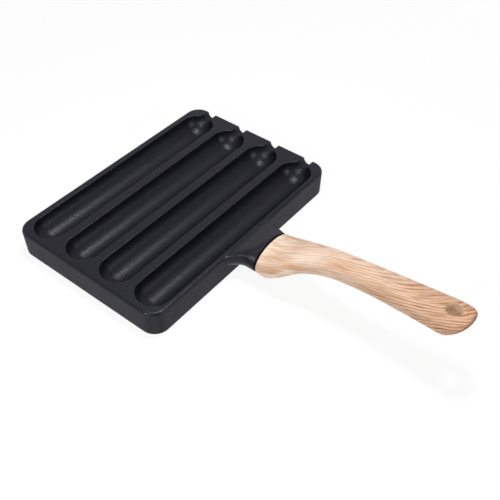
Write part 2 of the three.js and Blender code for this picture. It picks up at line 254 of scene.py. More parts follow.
class BunPanFinish(bpy.types.PropertyGroup):
    """Colours of the pan's materials"""

    coating: colour("Coating", "#090912", "Body of the non-stick coating")
    coating_fleck: colour("Coating fleck", "#13131d", "Paler flecks in the coating")
    wood_pale: colour("Pale wood", "#e7d1bd", "Dense late wood between the grain lines")
    wood_mid: colour("Mid wood", "#c79e7e", "Wood toward the handle's end")
    wood_dark: colour("Grain line", "#8c5c3a", "Porous early wood, in the grain lines")
    wood_burnt: colour("Burnished wood", "#7d5940", "End grain of the tip")
    # Bare wood, made paler still as painted light on the hang hole's shaded wall
    bore_wood_painted_light: colour("Bored wood", "#dac0a2", "Bare wood inside the hang hole")
    silicone: colour("Silicone", "#08080a", "Heat gasket")
    silicone_bloom: colour("Silicone bloom", "#0e0e10", "Faint dust on the heat gasket")
    steel: colour("Zinc", "#c8ccd0", "Zinc plating of the stud and the pin")
    brass: colour("Brass", "#d8b56a", "Threaded insert")


class BunPanStage(bpy.types.PropertyGroup):
    """Floor, light and camera"""

    floor_radius: length("Floor radius", 3000, "Radius of the round floor")
    floor_colour: colour("Floor", "#f4f4f4", "Paint of the floor")
    floor_white: level("Floor white", 0.9, "Share of plain white in the floor that is seen")
    overhead: level("Overhead light", 6.0, "Watts of the softbox over the pan")
    front: level("Front light", 3.0, "Watts of the softbox in front of the pan")
    side: level("Side light", 3.1, "Watts of the softbox on the handle's side")
    ambient: level("Ambient", 0.15, "Strength of the even light from all round")
    ceiling: level("Ceiling", 0.74, "Strength of the ceiling in a reflection")
    focal_length: length("Focal length", 52.66, "Focal length of the camera on a 36 mm sensor")


class BunPan(bpy.types.PropertyGroup):
    """All settings of the bun pan"""

    body: PointerProperty(type=BunPanBody, name="Pan", description="Sizes of the cast pan")
    handle: PointerProperty(type=BunPanHandle, name="Handle", description="Sizes of the handle")
    finish: PointerProperty(type=BunPanFinish, name="Finish", description="Colours")
    stage: PointerProperty(type=BunPanStage, name="Stage", description="Floor, light, camera")


# Mesh making

def put(name, data):
    """A new object in the scene."""
    thing = bpy.data.objects.new(name, data)
    bpy.context.scene.collection.objects.link(thing)
    return thing


def turn_outward(mesh):
    """Merges a mesh's doubles and turns its faces outward."""
    work = bmesh.new()
    work.from_mesh(mesh)
    bmesh.ops.remove_doubles(work, verts=work.verts, dist=MERGE)
    bmesh.ops.recalc_face_normals(work, faces=work.faces)
    work.to_mesh(mesh)
    work.free()


def loft(name, rings):
    """A closed skin over rings of equally many points, with flat ends and faces turned outward."""
    count = len(rings[0])
    last = (len(rings) - 1) * count
    faces = []
    for first in range(0, last, count):
        for j in range(count):
            k = (j + 1) % count
            faces.append((first + j, first + k, first + count + k, first + count + j))
    faces += [tuple(reversed(range(count))), tuple(range(last, last + count))]
    mesh = bpy.data.meshes.new(name)
    mesh.from_pydata(np.concatenate(rings).tolist(), [], faces)
    turn_outward(mesh)
    return put(name, mesh)


def freeze(piece):
    """Turns a piece with its modifiers into a plain mesh."""
    evaluated = piece.evaluated_get(bpy.context.evaluated_depsgraph_get())
    mesh = bpy.data.meshes.new_from_object(evaluated)
    old = piece.data
    piece.modifiers.clear()
    piece.data = mesh
    mesh.name = piece.name
    bpy.data.meshes.remove(old)


def carve(piece, tool, operation="DIFFERENCE"):
    """Cuts a closed shape out of a piece, or joins it on, and uses the shape up."""
    modifier = piece.modifiers.new("carve", "BOOLEAN")
    modifier.operation = operation
    modifier.solver = "MANIFOLD"
    modifier.object = tool
    freeze(piece)
    bpy.data.objects.remove(tool)
    if not piece.data.polygons:
        raise RuntimeError(f"{piece.name}: nothing is left after the cut")


def check_closed(piece):
    """Raises an error unless each edge of the piece joins two faces."""
    work = bmesh.new()
    work.from_mesh(piece.data)
    loose = sum(1 for edge in work.edges if len(edge.link_faces) != 2)
    work.free()
    if loose:
        raise RuntimeError(f"{piece.name}: {loose} edges don't join two faces")


def shade(piece, crease):
    """Smooth shading that keeps flats flat and edges past the crease angle crisp."""
    mesh = piece.data
    mesh.polygons.foreach_set("use_smooth", [True] * len(mesh.polygons))
    mesh.set_sharp_from_angle(angle=crease)
    piece.modifiers.new("weighted_normal", "WEIGHTED_NORMAL").keep_sharp = True
    freeze(piece)


def present(piece, node, material):
    """Puts a finished piece in the place of its CAD node."""
    check_closed(piece)
    piece.data.materials.clear()
    piece.data.materials.append(material)
    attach(piece, "root")
    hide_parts(node)


def mark(piece, name, kind, values):
    """Stores one value per vertex, which a material reads."""
    attribute = piece.data.attributes.new(name, kind, "POINT")
    attribute.data.foreach_set("vector" if kind == "FLOAT_VECTOR" else "value",
                               np.asarray(values, dtype=np.float32).ravel())


def vertex_places(piece):
    """Rows of the X, the Y and the Z of a piece's vertices."""
    places = np.empty(3 * len(piece.data.vertices))
    piece.data.vertices.foreach_get("co", places)
    return places.reshape(-1, 3).T


def around(count):
    """Equal turns round a circle."""
    return np.linspace(0, 2 * math.pi, count, endpoint=False)


def round_edge(radius, turn=math.pi / 2):
    """Pairs (depth, way out) round an edge, from where it leaves the side to the end of its turn."""
    return [(radius * (1 - math.sin(t)), radius * (1 - math.cos(t)))
            for t in np.linspace(0, turn, EDGE_STEPS)]


def lip_path(radius):
    """Pairs (depth, way out) of a rounded edge, from inside it to past the surface."""
    pairs = round_edge(radius, LIP_TURN)
    depth, out = pairs[-1]
    return pairs + [(-RUN_OUT, out + (depth + RUN_OUT) * math.tan(LIP_TURN))]


def quarter_bowl(radius, turn=math.pi / 2):
    """Points (out, up) of a round section, from the middle of its floor to its side."""
    return [(radius * math.sin(t), -radius * math.cos(t)) for t in np.linspace(0, turn, BOWL_STEPS)]


def bowl_profile(radius, lip):
    """Half section (out, up) of a round-bottomed channel, from its floor to past its rounded lip."""
    centre = math.sqrt((radius + lip) ** 2 - lip ** 2)
    meet = math.asin(lip / (radius + lip))
    rows = quarter_bowl(radius, math.pi / 2 - meet)
    rows += [(centre - lip * math.cos(t), lip * math.sin(t) - lip)
             for t in np.linspace(meet, LIP_TURN, EDGE_STEPS)[1:]]
    out, up = rows[-1]
    return rows + [(out + (RUN_OUT - up) * math.tan(LIP_TURN), RUN_OUT)]


def outline(half_x, half_y, radius, z):
    """Ring of a rectangle with round corners, level at a height."""
    ring = []
    for corner in range(4):
        middle_x = (half_x - radius) * (1 if corner in (0, 3) else -1)
        middle_y = (half_y - radius) * (1 if corner < 2 else -1)
        for turn in np.linspace(corner, corner + 1, CORNER_STEPS) * math.pi / 2:
            ring.append((middle_x + radius * math.cos(turn), middle_y + radius * math.sin(turn), z))
    return np.array(ring)


def oval(x, middle_z, half_width, half_depth, fullness, lean=0.0):
    """Ring of an oval section across X; fullness 2 is an ellipse, and lean shears its top."""
    cosine, sine = np.cos(around(OVAL_POINTS)), np.sin(around(OVAL_POINTS))
    y = half_width * np.sign(cosine) * np.abs(cosine) ** (2 / fullness)
    z = half_depth * np.sign(sine) * np.abs(sine) ** (2 / fullness)
    return np.stack([x + lean * z, y, middle_z + z], 1)


def round_bar(name, stations, y):
    """A round bar along X at the joint's height, through pairs (x, radius)."""
    turns = around(BORE_SEGMENTS)
    return loft(name, [np.stack([np.full(len(turns), x), y + radius * np.cos(turns),
                                 JOINT_Z + radius * np.sin(turns)], 1) for x, radius in stations])


def drill(piece, low, high, start, end):
    """Bores a piece along X for the fastener in a box, with room round it."""
    radius = (high.z - low.z) / 2 + FIT_GAP
    carve(piece, round_bar("hole", ((start, radius), (end, radius)), (low.y + high.y) / 2))


# Node trees

def add(tree, kind, links=None, **settings):
    """Adds a node, gives it its settings, and links or sets its inputs.

    A node that is given for an input stands for the first output that it has in use, and a pair for
    From or To stands for its Min and Max.
    """
    made = tree.nodes.new(kind)
    for name, value in settings.items():
        setattr(made, name, value)
    inputs = dict(links or {})
    for name in ("From", "To"):
        if name in inputs:
            inputs[name + " Min"], inputs[name + " Max"] = inputs.pop(name)
    for name, value in inputs.items():
        if isinstance(value, bpy.types.Node):
            value = next(output for output in value.outputs if output.enabled)
        if isinstance(value, bpy.types.NodeSocket):
            tree.links.new(value, made.inputs[name])
        else:
            made.inputs[name].default_value = value
    return made


def new_tree(name, **inputs):
    """An empty geometry tree with inputs of the kinds named, and those inputs' sockets."""
    tree = bpy.data.node_groups.new(name, "GeometryNodeTree")
    tree.interface.new_socket("Geometry", in_out="OUTPUT", socket_type="NodeSocketGeometry")
    for label, kind in inputs.items():
        tree.interface.new_socket(label, in_out="INPUT", socket_type="NodeSocket" + kind)
    return tree, tree.nodes.new("NodeGroupInput").outputs


def finish_tree(tree, geometry, given):
    """Ends a tree in plain geometry with its material."""
    real = add(tree, "GeometryNodeRealizeInstances", {"Geometry": geometry})
    dressed = add(tree, "GeometryNodeSetMaterial",
                  {"Geometry": real, "Material": given["Material"]})
    add(tree, "NodeGroupOutput", {"Geometry": dressed})
    return tree


def finish_row(tree, shape, given):
    """Ends a tree in copies of a shape side by side along X, centred on the middle of the row."""
    first = given["Count"]
    for operation, value in (("SUBTRACT", 1.0), ("MULTIPLY", -0.5), ("MULTIPLY", given["Pitch"])):
        first = add(tree, "ShaderNodeMath", {0: first, 1: value}, operation=operation)
    start = add(tree, "ShaderNodeCombineXYZ", {"X": first})
    step = add(tree, "ShaderNodeCombineXYZ", {"X": given["Pitch"]})
    line = add(tree, "GeometryNodeMeshLine",
               {"Count": given["Count"], "Start Location": start, "Offset": step}, mode="OFFSET")
    row = add(tree, "GeometryNodeInstanceOnPoints", {"Points": line, "Instance": shape})
    return finish_tree(tree, row, given)


def grow(name, tree, **values):
    """Runs a tree with the values of its named inputs and returns the plain mesh object."""
    piece = put(name, bpy.data.meshes.new(name))
    modifier = piece.modifiers.new(name, "NODES")
    modifier.node_group = tree
    for item in tree.interface.items_tree:
        if item.in_out == "INPUT":
            modifier[item.identifier] = values[item.name]
    freeze(piece)
    turn_outward(piece.data)
    return piece


def bowl_row_tree():
    """Sweeps a half section round a straight line with half-round ends, and repeats it in a row."""
    tree, given = new_tree("bowl_row", Profile="Object", Radius="Float", Straight="Float",
                           Segments="Int", Count="Int", Pitch="Float", Material="Material")
    circle = add(tree, "GeometryNodeCurvePrimitiveCircle",
                 {"Resolution": given["Segments"], "Radius": given["Radius"]}, mode="RADIUS")
    step = add(tree, "ShaderNodeMath", {0: math.pi, 1: given["Segments"]}, operation="DIVIDE")
    turn = add(tree, "ShaderNodeCombineXYZ", {"Z": step})
    turned = add(tree, "GeometryNodeTransform", {"Geometry": circle, "Rotation": turn})
    parts = add(tree, "ShaderNodeSeparateXYZ", {0: add(tree, "GeometryNodeInputPosition")})
    side = add(tree, "ShaderNodeMath", {0: parts.outputs["Y"]}, operation="SIGN")
    half = add(tree, "ShaderNodeMath", {0: side, 1: 0.5}, operation="MULTIPLY")
    shift = add(tree, "ShaderNodeMath", {0: half, 1: given["Straight"]}, operation="MULTIPLY")
    offset = add(tree, "ShaderNodeCombineXYZ", {"Y": shift})
    rail = add(tree, "GeometryNodeSetPosition", {"Geometry": turned, "Offset": offset})
    profile = add(tree, "GeometryNodeObjectInfo", {"Object": given["Profile"]})
    swept = add(tree, "GeometryNodeCurveToMesh",
                {"Curve": rail, "Profile Curve": profile.outputs["Geometry"]})
    merged = add(tree, "GeometryNodeMergeByDistance",
                 {"Geometry": swept, "Distance": SEAM_MERGE})
    return finish_row(tree, merged, given)


def copy_row_tree():
    """Repeats a made shape in a row, such as the notches."""
    tree, given = new_tree("copy_row", Shape="Object", Count="Int", Pitch="Float",
                           Material="Material")
    shape = add(tree, "GeometryNodeObjectInfo", {"Object": given["Shape"]})
    return finish_row(tree, shape.outputs["Geometry"], given)


def thread_tree():
    """A bar along X whose skin winds up and down as a screw thread that fades at both ends."""
    tree, given = new_tree("thread", Radius="Float", Depth="Float", Pitch="Float", Length="Float",
                           Segments="Int", Steps="Int", Material="Material")
    bar = add(tree, "GeometryNodeMeshCylinder",
              {"Vertices": given["Segments"], "Side Segments": given["Steps"],
               "Radius": given["Radius"], "Depth": given["Length"]}, fill_type="NGON")
    place = add(tree, "GeometryNodeInputPosition")
    x, y, z = add(tree, "ShaderNodeSeparateXYZ", {0: place}).outputs
    angle = add(tree, "ShaderNodeMath", {0: y, 1: x}, operation="ARCTAN2")
    turns = add(tree, "ShaderNodeMath", {0: angle, 1: 2 * math.pi}, operation="DIVIDE")
    up = add(tree, "ShaderNodeMath", {0: z}, operation="ABSOLUTE")
    half = add(tree, "ShaderNodeMath", {0: given["Length"], 1: 0.5}, operation="MULTIPLY")
    room = add(tree, "ShaderNodeMath", {0: half, 1: up}, operation="SUBTRACT")
    ends = add(tree, "ShaderNodeMapRange",
               {"Value": room, "From Max": given["Pitch"], "To": (1.0, 0.0)})
    sunk = z
    for operation, value in (("DIVIDE", given["Pitch"]), ("SUBTRACT", turns), ("PINGPONG", 0.5),
                             ("MULTIPLY", 2.0), ("MAXIMUM", ends), ("MULTIPLY", given["Depth"]),
                             ("DIVIDE", given["Radius"])):
        sunk = add(tree, "ShaderNodeMath", {0: sunk, 1: value}, operation=operation)
    keep = add(tree, "ShaderNodeMath", {0: 1.0, 1: sunk}, operation="SUBTRACT")
    squeeze = add(tree, "ShaderNodeCombineXYZ", {"X": keep, "Y": keep, "Z": 1.0})
    moved = add(tree, "ShaderNodeVectorMath", {0: place, 1: squeeze}, operation="MULTIPLY")
    wound = add(tree, "GeometryNodeSetPosition", {"Geometry": bar, "Position": moved})
    laid = add(tree, "GeometryNodeTransform",
               {"Geometry": wound, "Rotation": (0, math.pi / 2, 0)})
    return finish_tree(tree, laid, given)


# Materials

def new_material(name):
    """A material and its empty tree."""
    material = bpy.data.materials.new(name)
    material.use_nodes = True
    material.node_tree.nodes.clear()
    return material, material.node_tree


def finish_material(material, surface):
    """Ends a material's tree in its surface."""
    add(material.node_tree, "ShaderNodeOutputMaterial", {"Surface": surface})
    return material


def opaque(rgb):
    """A colour with full alpha, as a colour socket takes it."""
    return (*rgb, 1.0)


def nonstick_coating(finish):
    """Sprayed and baked PTFE coating over cast aluminium.

    Satin, with a fine pebbled skin that breaks the highlights into grain, and faint paler flecks.
    The outer walls are duller, as left by the mould. The pebbles of about 0.4 mm are drawn at
    1.5 mm, so that they show in the render.
    """
    material, tree = new_material("sprayed_nonstick_coating")
    place = add(tree, "ShaderNodeTexCoord").outputs["Object"]
    fleck = add(tree, "ShaderNodeTexNoise",
                {"Vector": place, "Scale": 1 / FLECK_SIZE, "Detail": 2.0, "Roughness": 0.6})
    few = add(tree, "ShaderNodeMapRange", {"Value": fleck, "From": FLECK_SPAN})
    tint = add(tree, "ShaderNodeMix",
               {0: few, 6: opaque(finish.coating), 7: opaque(finish.coating_fleck)},
               data_type="RGBA")
    mottle = add(tree, "ShaderNodeTexNoise",
                 {"Vector": place, "Scale": 1 / MOTTLE_SIZE, "Detail": 3.0})
    uneven = add(tree, "ShaderNodeMapRange",
                 {"Value": mottle, "From": NOISE_SPAN, "To": COATING_ROUGHNESS})
    wall = add(tree, "ShaderNodeAttribute", attribute_name=OUTER_WALL)
    rough = add(tree, "ShaderNodeMath",
                {0: wall.outputs["Fac"], 1: WALL_ROUGHNESS, 2: uneven}, operation="MULTIPLY_ADD")
    pebble = add(tree, "ShaderNodeTexNoise",
                 {"Vector": place, "Scale": 1 / PEBBLE_SIZE, "Detail": 1.5})
    skin = add(tree, "ShaderNodeBump",
               {"Height": pebble, "Strength": 1.0, "Distance": PEBBLE_HEIGHT})
    shader = add(tree, "ShaderNodeBsdfPrincipled",
                 {"Base Color": tint, "Roughness": rough, "Normal": skin, "IOR": 1.34,
                  "Specular Tint": COATING_TINT})
    return finish_material(material, shader)


def ash_wood(finish):
    """Ash, sanded and lightly oiled.

    Growth layers give pale wood with porous tan lines, which run along the handle and rise over its
    top towards the far edge, bolder and darker near the end. Short pores streak it, and the end
    grain of the tip is burnished. The hang hole is paler: bare wood, with painted light on its
    shaded wall. The streaks of about 0.3 mm are drawn at 0.8 mm, so that they show in the render.
    """
    material, tree = new_material("oiled_ash")
    place = add(tree, "ShaderNodeAttribute", attribute_name=GRAIN_PLACE).outputs["Vector"]
    along = add(tree, "ShaderNodeSeparateXYZ", {"Vector": place}).outputs["X"]
    across = add(tree, "ShaderNodeVectorMath", {0: place, 1: (0.0, *PITH)}, operation="SUBTRACT")
    flat = add(tree, "ShaderNodeVectorMath", {0: across, 1: (0.0, 1.0, 1.0)}, operation="MULTIPLY")
    radius = add(tree, "ShaderNodeVectorMath", {0: flat}, operation="LENGTH")
    far = add(tree, "ShaderNodeMath", {0: along, 1: LAYER_RISE[1]}, operation="DIVIDE")
    growth = add(tree, "ShaderNodeMath", {0: far}, operation="EXPONENT")
    layers = add(tree, "ShaderNodeMath", {0: growth, 1: LAYER_RISE[0], 2: radius},
                 operation="MULTIPLY_ADD")
    for size, stretch, sway in LAYER_SWAY:
        drawn = add(tree, "ShaderNodeMapping", {"Vector": place, "Scale": (stretch, 1.0, 1.0)})
        noise = add(tree, "ShaderNodeTexNoise",
                    {"Vector": drawn, "Scale": 1 / size, "Detail": 1.0})
        layers = add(tree, "ShaderNodeMath", {0: noise, 1: sway, 2: layers},
                     operation="MULTIPLY_ADD")
    count = add(tree, "ShaderNodeMath", {0: layers, 1: LAYER_SPACING}, operation="DIVIDE")
    year = add(tree, "ShaderNodeMath", {0: count}, operation="FLOOR")
    part = add(tree, "ShaderNodeMath", {0: count}, operation="FRACT")
    fading = add(tree, "ShaderNodeMapRange",
                 {"Value": part, "From Max": LINE_END, "To": (1.0, 0.0)},
                 interpolation_type="SMOOTHSTEP")
    start = add(tree, "ShaderNodeMapRange", {"Value": part, "From Min": LINE_START},
                interpolation_type="SMOOTHSTEP")
    line = add(tree, "ShaderNodeMath", {0: fading, 1: start}, operation="MAXIMUM")
    chance = add(tree, "ShaderNodeTexWhiteNoise", {"W": year}, noise_dimensions="1D")
    # Darker wood and bolder lines towards the handle's end
    old = add(tree, "ShaderNodeMapRange", {"Value": along, "From": ENDWARD_DARKENING})
    bold = add(tree, "ShaderNodeMapRange", {"Value": old, "To": BOLDNESS})
    depth = add(tree, "ShaderNodeMapRange", {"Value": chance, "To": (FAINTEST, bold)})
    weight = add(tree, "ShaderNodeMath", {0: line, 1: depth}, operation="MULTIPLY")
    layered = add(tree, "ShaderNodeCombineXYZ", {"X": along, "Y": layers})
    fine = add(tree, "ShaderNodeMapping", {"Vector": layered, "Scale": (FIBRE_STRETCH, 1.0, 1.0)})
    fibre = add(tree, "ShaderNodeTexNoise",
                {"Vector": fine, "Scale": 1 / FIBRE_SIZE, "Detail": 2.0})
    streak = add(tree, "ShaderNodeMapRange", {"Value": fibre, "From": FIBRE_SPAN, "To Max": bold})
    broad = add(tree, "ShaderNodeMapping", {"Vector": place, "Scale": (CLOUD_STRETCH, 1.0, 1.0)})
    cloud = add(tree, "ShaderNodeTexNoise", {"Vector": broad, "Scale": 1 / CLOUD_SIZE})
    warm = add(tree, "ShaderNodeMapRange", {"Value": cloud, "From": CLOUD_SPAN, "To": (old, 1.0)})
    # The hang hole's tint is bare wood and painted light on its shaded wall
    tip, bore_light = (add(tree, "ShaderNodeAttribute", attribute_name=name).outputs["Fac"]
                 for name in (BURNISH, BORE_PAINTED_LIGHT))
    tone = opaque(finish.wood_pale)
    for share, tint in ((warm, finish.wood_mid), (weight, finish.wood_dark),
                        (streak, finish.wood_dark), (tip, finish.wood_burnt),
                        (bore_light, finish.bore_wood_painted_light)):
        tone = add(tree, "ShaderNodeMix", {0: share, 6: tone, 7: opaque(tint)}, data_type="RGBA")
    pores = add(tree, "ShaderNodeBump", {"Height": fibre, "Strength": 0.25, "Distance": PORE_DEPTH})
    shader = add(tree, "ShaderNodeBsdfPrincipled",
                 {"Base Color": tone, "Normal": pores, "Roughness": 0.55, "IOR": 1.45})
    return finish_material(material, shader)


def silicone_rubber(finish):
    """Moulded silicone: a black line that hardly shines, with a faint bloom of paler dust."""
    material, tree = new_material("moulded_silicone")
    place = add(tree, "ShaderNodeTexCoord").outputs["Object"]
    bloom = add(tree, "ShaderNodeTexNoise",
                {"Vector": place, "Scale": 1 / BLOOM_SIZE, "Detail": 3.0})
    rough = add(tree, "ShaderNodeMapRange", {"Value": bloom, "To": SILICONE_ROUGHNESS})
    tone = add(tree, "ShaderNodeMix",
               {0: bloom, 6: opaque(finish.silicone), 7: opaque(finish.silicone_bloom)},
               data_type="RGBA")
    shader = add(tree, "ShaderNodeBsdfPrincipled",
                 {"Base Color": tone, "Roughness": rough, "IOR": 1.41, "Specular IOR Level": 0.12})
    return finish_material(material, shader)


def plated_metal(name, tone, roughness):
    """Plated or turned metal: bright, with soft patches of duller plating."""
    material, tree = new_material(name)
    place = add(tree, "ShaderNodeTexCoord").outputs["Object"]
    patch = add(tree, "ShaderNodeTexNoise",
                {"Vector": place, "Scale": 1 / PATCH_SIZE, "Detail": 4.0})
    rough = add(tree, "ShaderNodeMapRange",
                {"Value": patch, "From": NOISE_SPAN, "To": roughness})
    shader = add(tree, "ShaderNodeBsdfPrincipled",
                 {"Base Color": opaque(tone), "Roughness": rough, "Metallic": 1.0})
    return finish_material(material, shader)


def seen_directly(tree):
    """1 for what is seen, also in a reflection or through glass, and 0 for the light it sheds."""
    ray = add(tree, "ShaderNodeLightPath").outputs
    seen = ray["Is Camera Ray"]
    for kind in ("Is Glossy Ray", "Is Transmission Ray"):
        seen = add(tree, "ShaderNodeMath", {0: seen, 1: ray[kind]}, operation="MAXIMUM")
    return seen


# The cast pan

def pan_inset(body, z):
    """How far the outside of the pan stands in from the rim's outline at a height."""
    inset = body.wall_draft * (1 - z / body.pan_height)
    under = max(body.base_radius - z, 0.0)
    inset += body.base_radius - math.sqrt(max(body.base_radius ** 2 - under ** 2, 0.0))
    over = min(max(z - body.pan_height + body.rim_radius, 0.0), body.rim_radius)
    return inset + body.rim_radius - math.sqrt(body.rim_radius ** 2 - over ** 2)


def pan_sides(body):
    """The rim's reach on each side: low and high X, low and high Y."""
    half_row = (body.trough_count - 1) * body.trough_pitch / 2 + body.trough_radius
    half_length = body.trough_length / 2
    return (-half_row - body.free_margin, half_row + body.handle_margin,
            -half_length - body.near_margin - body.handle_offset,
            half_length + body.far_margin - body.handle_offset)


def pan_outline(body, inset, z):
    """The pan's outline at a height, drawn in by an inset."""
    low_x, high_x, low_y, high_y = pan_sides(body)
    ring = outline((high_x - low_x) / 2 - inset, (high_y - low_y) / 2 - inset,
                   body.corner_radius - inset, z)
    return ring + ((low_x + high_x) / 2, (low_y + high_y) / 2, 0)


def pan_block(body):
    """The outside of the pan: drafted walls with round edges at the base and the rim."""
    heights = [out for _, out in round_edge(body.base_radius)]
    heights += [body.pan_height - depth for depth, _ in round_edge(body.rim_radius)]
    return loft("cast_pan", [pan_outline(body, pan_inset(body, z), z) for z in heights])


def bowl_row(body, name, profile, radius, material):
    """A row of channels swept from one half section, in its place under the rim."""
    curve = bpy.data.curves.new(name, "CURVE")
    curve.dimensions = "3D"
    spline = curve.splines.new("POLY")
    spline.points.add(len(profile))
    spots = [(out - radius, -up) for out, up in profile] + [(-radius, -profile[-1][1])]
    for point, (across, down) in zip(spline.points, spots):
        point.co = (across, down, 0.0, 1.0)
    section = put(name, curve)
    row = grow(name + "_row", bowl_row_tree(), Profile=section, Radius=radius,
               Straight=body.trough_length - 2 * body.trough_radius, Segments=BOWL_SEGMENTS,
               Count=body.trough_count, Pitch=body.trough_pitch, Material=material)
    bpy.data.objects.remove(section)
    row.data.transform(Matrix.Translation((0, -body.handle_offset, body.pan_height)))
    return row


def copy_row(body, shape, material):
    """A row of copies of one shape, one for each trough."""
    row = grow(shape.name + "_row", copy_row_tree(), Shape=shape, Count=body.trough_count,
               Pitch=body.trough_pitch, Material=material)
    bpy.data.objects.remove(shape)
    return row


def notch_shape(body):
    """The stick notch: a half-round channel from a trough's end out through the far wall."""
    throat, path = lip_path(body.notch_throat), lip_path(body.notch_lip)
    below = body.notch_depth - body.notch_radius
    middle_y = body.trough_length / 2 - body.trough_radius - body.handle_offset
    far_y = pan_sides(body)[3]

    def ring(out, y_of):
        radius = body.notch_radius + out
        half = [(x, up - below) for x, up in quarter_bowl(radius)]
        half += [(radius + wider, -depth) for depth, wider in path]
        half.append((half[-1][0], REACH))
        section = np.array([(-x, up) for x, up in half[:0:-1]] + half) + (body.notch_shift, 0)
        return np.array([(x, y_of(x, up), body.pan_height + up) for x, up in section])

    def bowl_y(x, up):
        return middle_y + math.sqrt(max(body.trough_radius ** 2 - x * x - up * up, 0.0))

    def wall_y(up):
        return far_y - pan_inset(body, min(body.pan_height + up, body.pan_height))

    rings = [ring(throat[-1][1], lambda x, up: middle_y + REACH)]
    rings += [ring(out, lambda x, up, d=depth: bowl_y(x, up) + d) for depth, out in throat[::-1]]
    rings += [ring(out, lambda x, up, d=depth: wall_y(up) - d) for depth, out in path]
    rings.append(ring(path[-1][1], lambda x, up: far_y + REACH))
    return loft("notch", rings)


def underside_hollow(body, material):
    """The space under the pan, less the trough shells, their pads and the cross web."""
    ceiling = body.pan_height - body.rib_depth
    inset = body.wall_draft + body.skirt_wall
    edge = lip_path(HOLLOW_LIP)[::-1]
    rings = [pan_outline(body, inset - out, depth) for depth, out in edge]
    rings += [pan_outline(body, inset + out, ceiling - depth)
              for depth, out in round_edge(HOLLOW_ROUND)]
    hollow = loft("hollow", rings)
    radius = body.trough_radius + body.trough_wall
    shell = quarter_bowl(radius) + [(radius, REACH)]
    carve(hollow, bowl_row(body, "shell", shell, radius, material))
    half = body.pad_width / 2
    half_length = body.trough_length / 2 - body.trough_radius + half
    foot = [(-REACH, edge[0][1]), *edge]
    pad = loft("pad", [outline(half - out, half_length - out, half - out, z)
                       for z, out in (*foot, (ceiling, -PAD_FLARE))])
    pad.data.transform(Matrix.Translation((0, -body.handle_offset, 0)))
    carve(hollow, copy_row(body, pad, material))
    half = body.web_thickness / 2
    web = loft("web", [outline(pan_sides(body)[1], half - min(out, WEB_EDGE * half), SHARP_CORNER, z)
                       for z, out in (*foot, (ceiling + REACH, -PAD_FLARE))])
    carve(hollow, web)
    return hollow


def boss_shape(body):
    """The boss: an oval whose upper half squares off, widens and runs level into the rim."""
    wall = pan_sides(body)[1]
    start, face = wall - body.rim_radius, wall + body.boss_length
    cosine, sine = np.cos(around(OVAL_POINTS)), np.sin(around(OVAL_POINTS))
    half_depth = body.joint_depth / 2
    level_half = body.pan_height - RIM_STEP - JOINT_Z

    def section(x, drawn_in=0.0):
        way = min(max((x - wall) / body.boss_length, 0.0), 1.0)
        rise = (way + way * way * (3 - 2 * way)) / 2
        near_rim = max(1 - max(x - start, 0.0) / body.flare_length, 0.0)
        half_width = body.joint_width / 2 + body.boss_flare * near_rim ** 2 - drawn_in
        upper = level_half + (half_depth - level_half) * rise - drawn_in
        full = ROOT_FULLNESS + (BOSS_FULLNESS - ROOT_FULLNESS) * (1 - way) ** BOSS_EASE
        top = sine > 0
        y = half_width * np.sign(cosine) * np.abs(cosine) ** np.where(top, 2 / full, 1.0)
        z = np.where(top, upper * np.abs(sine) ** (2 / full), (half_depth - drawn_in) * sine)
        return np.stack([np.full(OVAL_POINTS, x), y, JOINT_Z + z], 1)

    rings = [section(x) for x in np.linspace(start, face - body.boss_edge, BOSS_STEPS)]
    rings += [section(face - depth, out) for depth, out in round_edge(body.boss_edge)[1:]]
    return loft("boss", rings)


class BUNPAN_OT_cast_pan(bpy.types.Operator):
    """Build the cast pan with its troughs, stick notches, underside and boss"""

    bl_idname = "bunpan.cast_pan"
    bl_label = "Cast Pan"

    def execute(self, context):
        body = context.scene.bun_pan.body
        coating = nonstick_coating(context.scene.bun_pan.finish)
        pan = pan_block(body)
        carve(pan, underside_hollow(body, coating))
        carve(pan, boss_shape(body), "UNION")
        bowl = bowl_profile(body.trough_radius, body.trough_lip)
        carve(pan, bowl_row(body, "trough", bowl, body.trough_radius, coating))
        carve(pan, copy_row(body, notch_shape(body), coating))
        for low, high in ((STUD_LOW, STUD_HIGH), (PIN_LOW, PIN_HIGH)):
            drill(pan, low, high, low.x - END_GAP, GASKET_LOW.x + REACH)
        shade(pan, PAN_CREASE)
        low_x, high_x, low_y, high_y = pan_sides(body)
        x, y, z = vertex_places(pan)
        inside = np.minimum.reduce([x - low_x, high_x - x, y - low_y, high_y - y])
        mark(pan, OUTER_WALL, "FLOAT", (inside < body.rim_radius) & (x < high_x + BOSS_START)
             & (z < body.pan_height - body.rim_radius / 2))
        present(pan, "pan_body", coating)
        return {"FINISHED"}


# The handle and its joint

def handle_curve(way):
    """Rise of the handle's middle, half width and half depth at a way along it, in metres."""
    table = np.array(HANDLE_SECTIONS) * MM
    at = table[:, 0]
    values = table[:, 1:] * (1.0, 0.5, 0.5)
    chords = np.diff(values, axis=0) / np.diff(at)[:, None]
    slopes = np.concatenate([chords[:1], (chords[1:] + chords[:-1]) / 2, chords[-1:]])
    i = int(np.clip(np.searchsorted(at, way) - 1, 0, len(at) - 2))
    step = at[i + 1] - at[i]
    t = (way - at[i]) / step
    return ((1 + 2 * t) * (1 - t) ** 2 * values[i] + t * (1 - t) ** 2 * step * slopes[i]
            + t * t * (3 - 2 * t) * values[i + 1] + t * t * (t - 1) * step * slopes[i + 1])


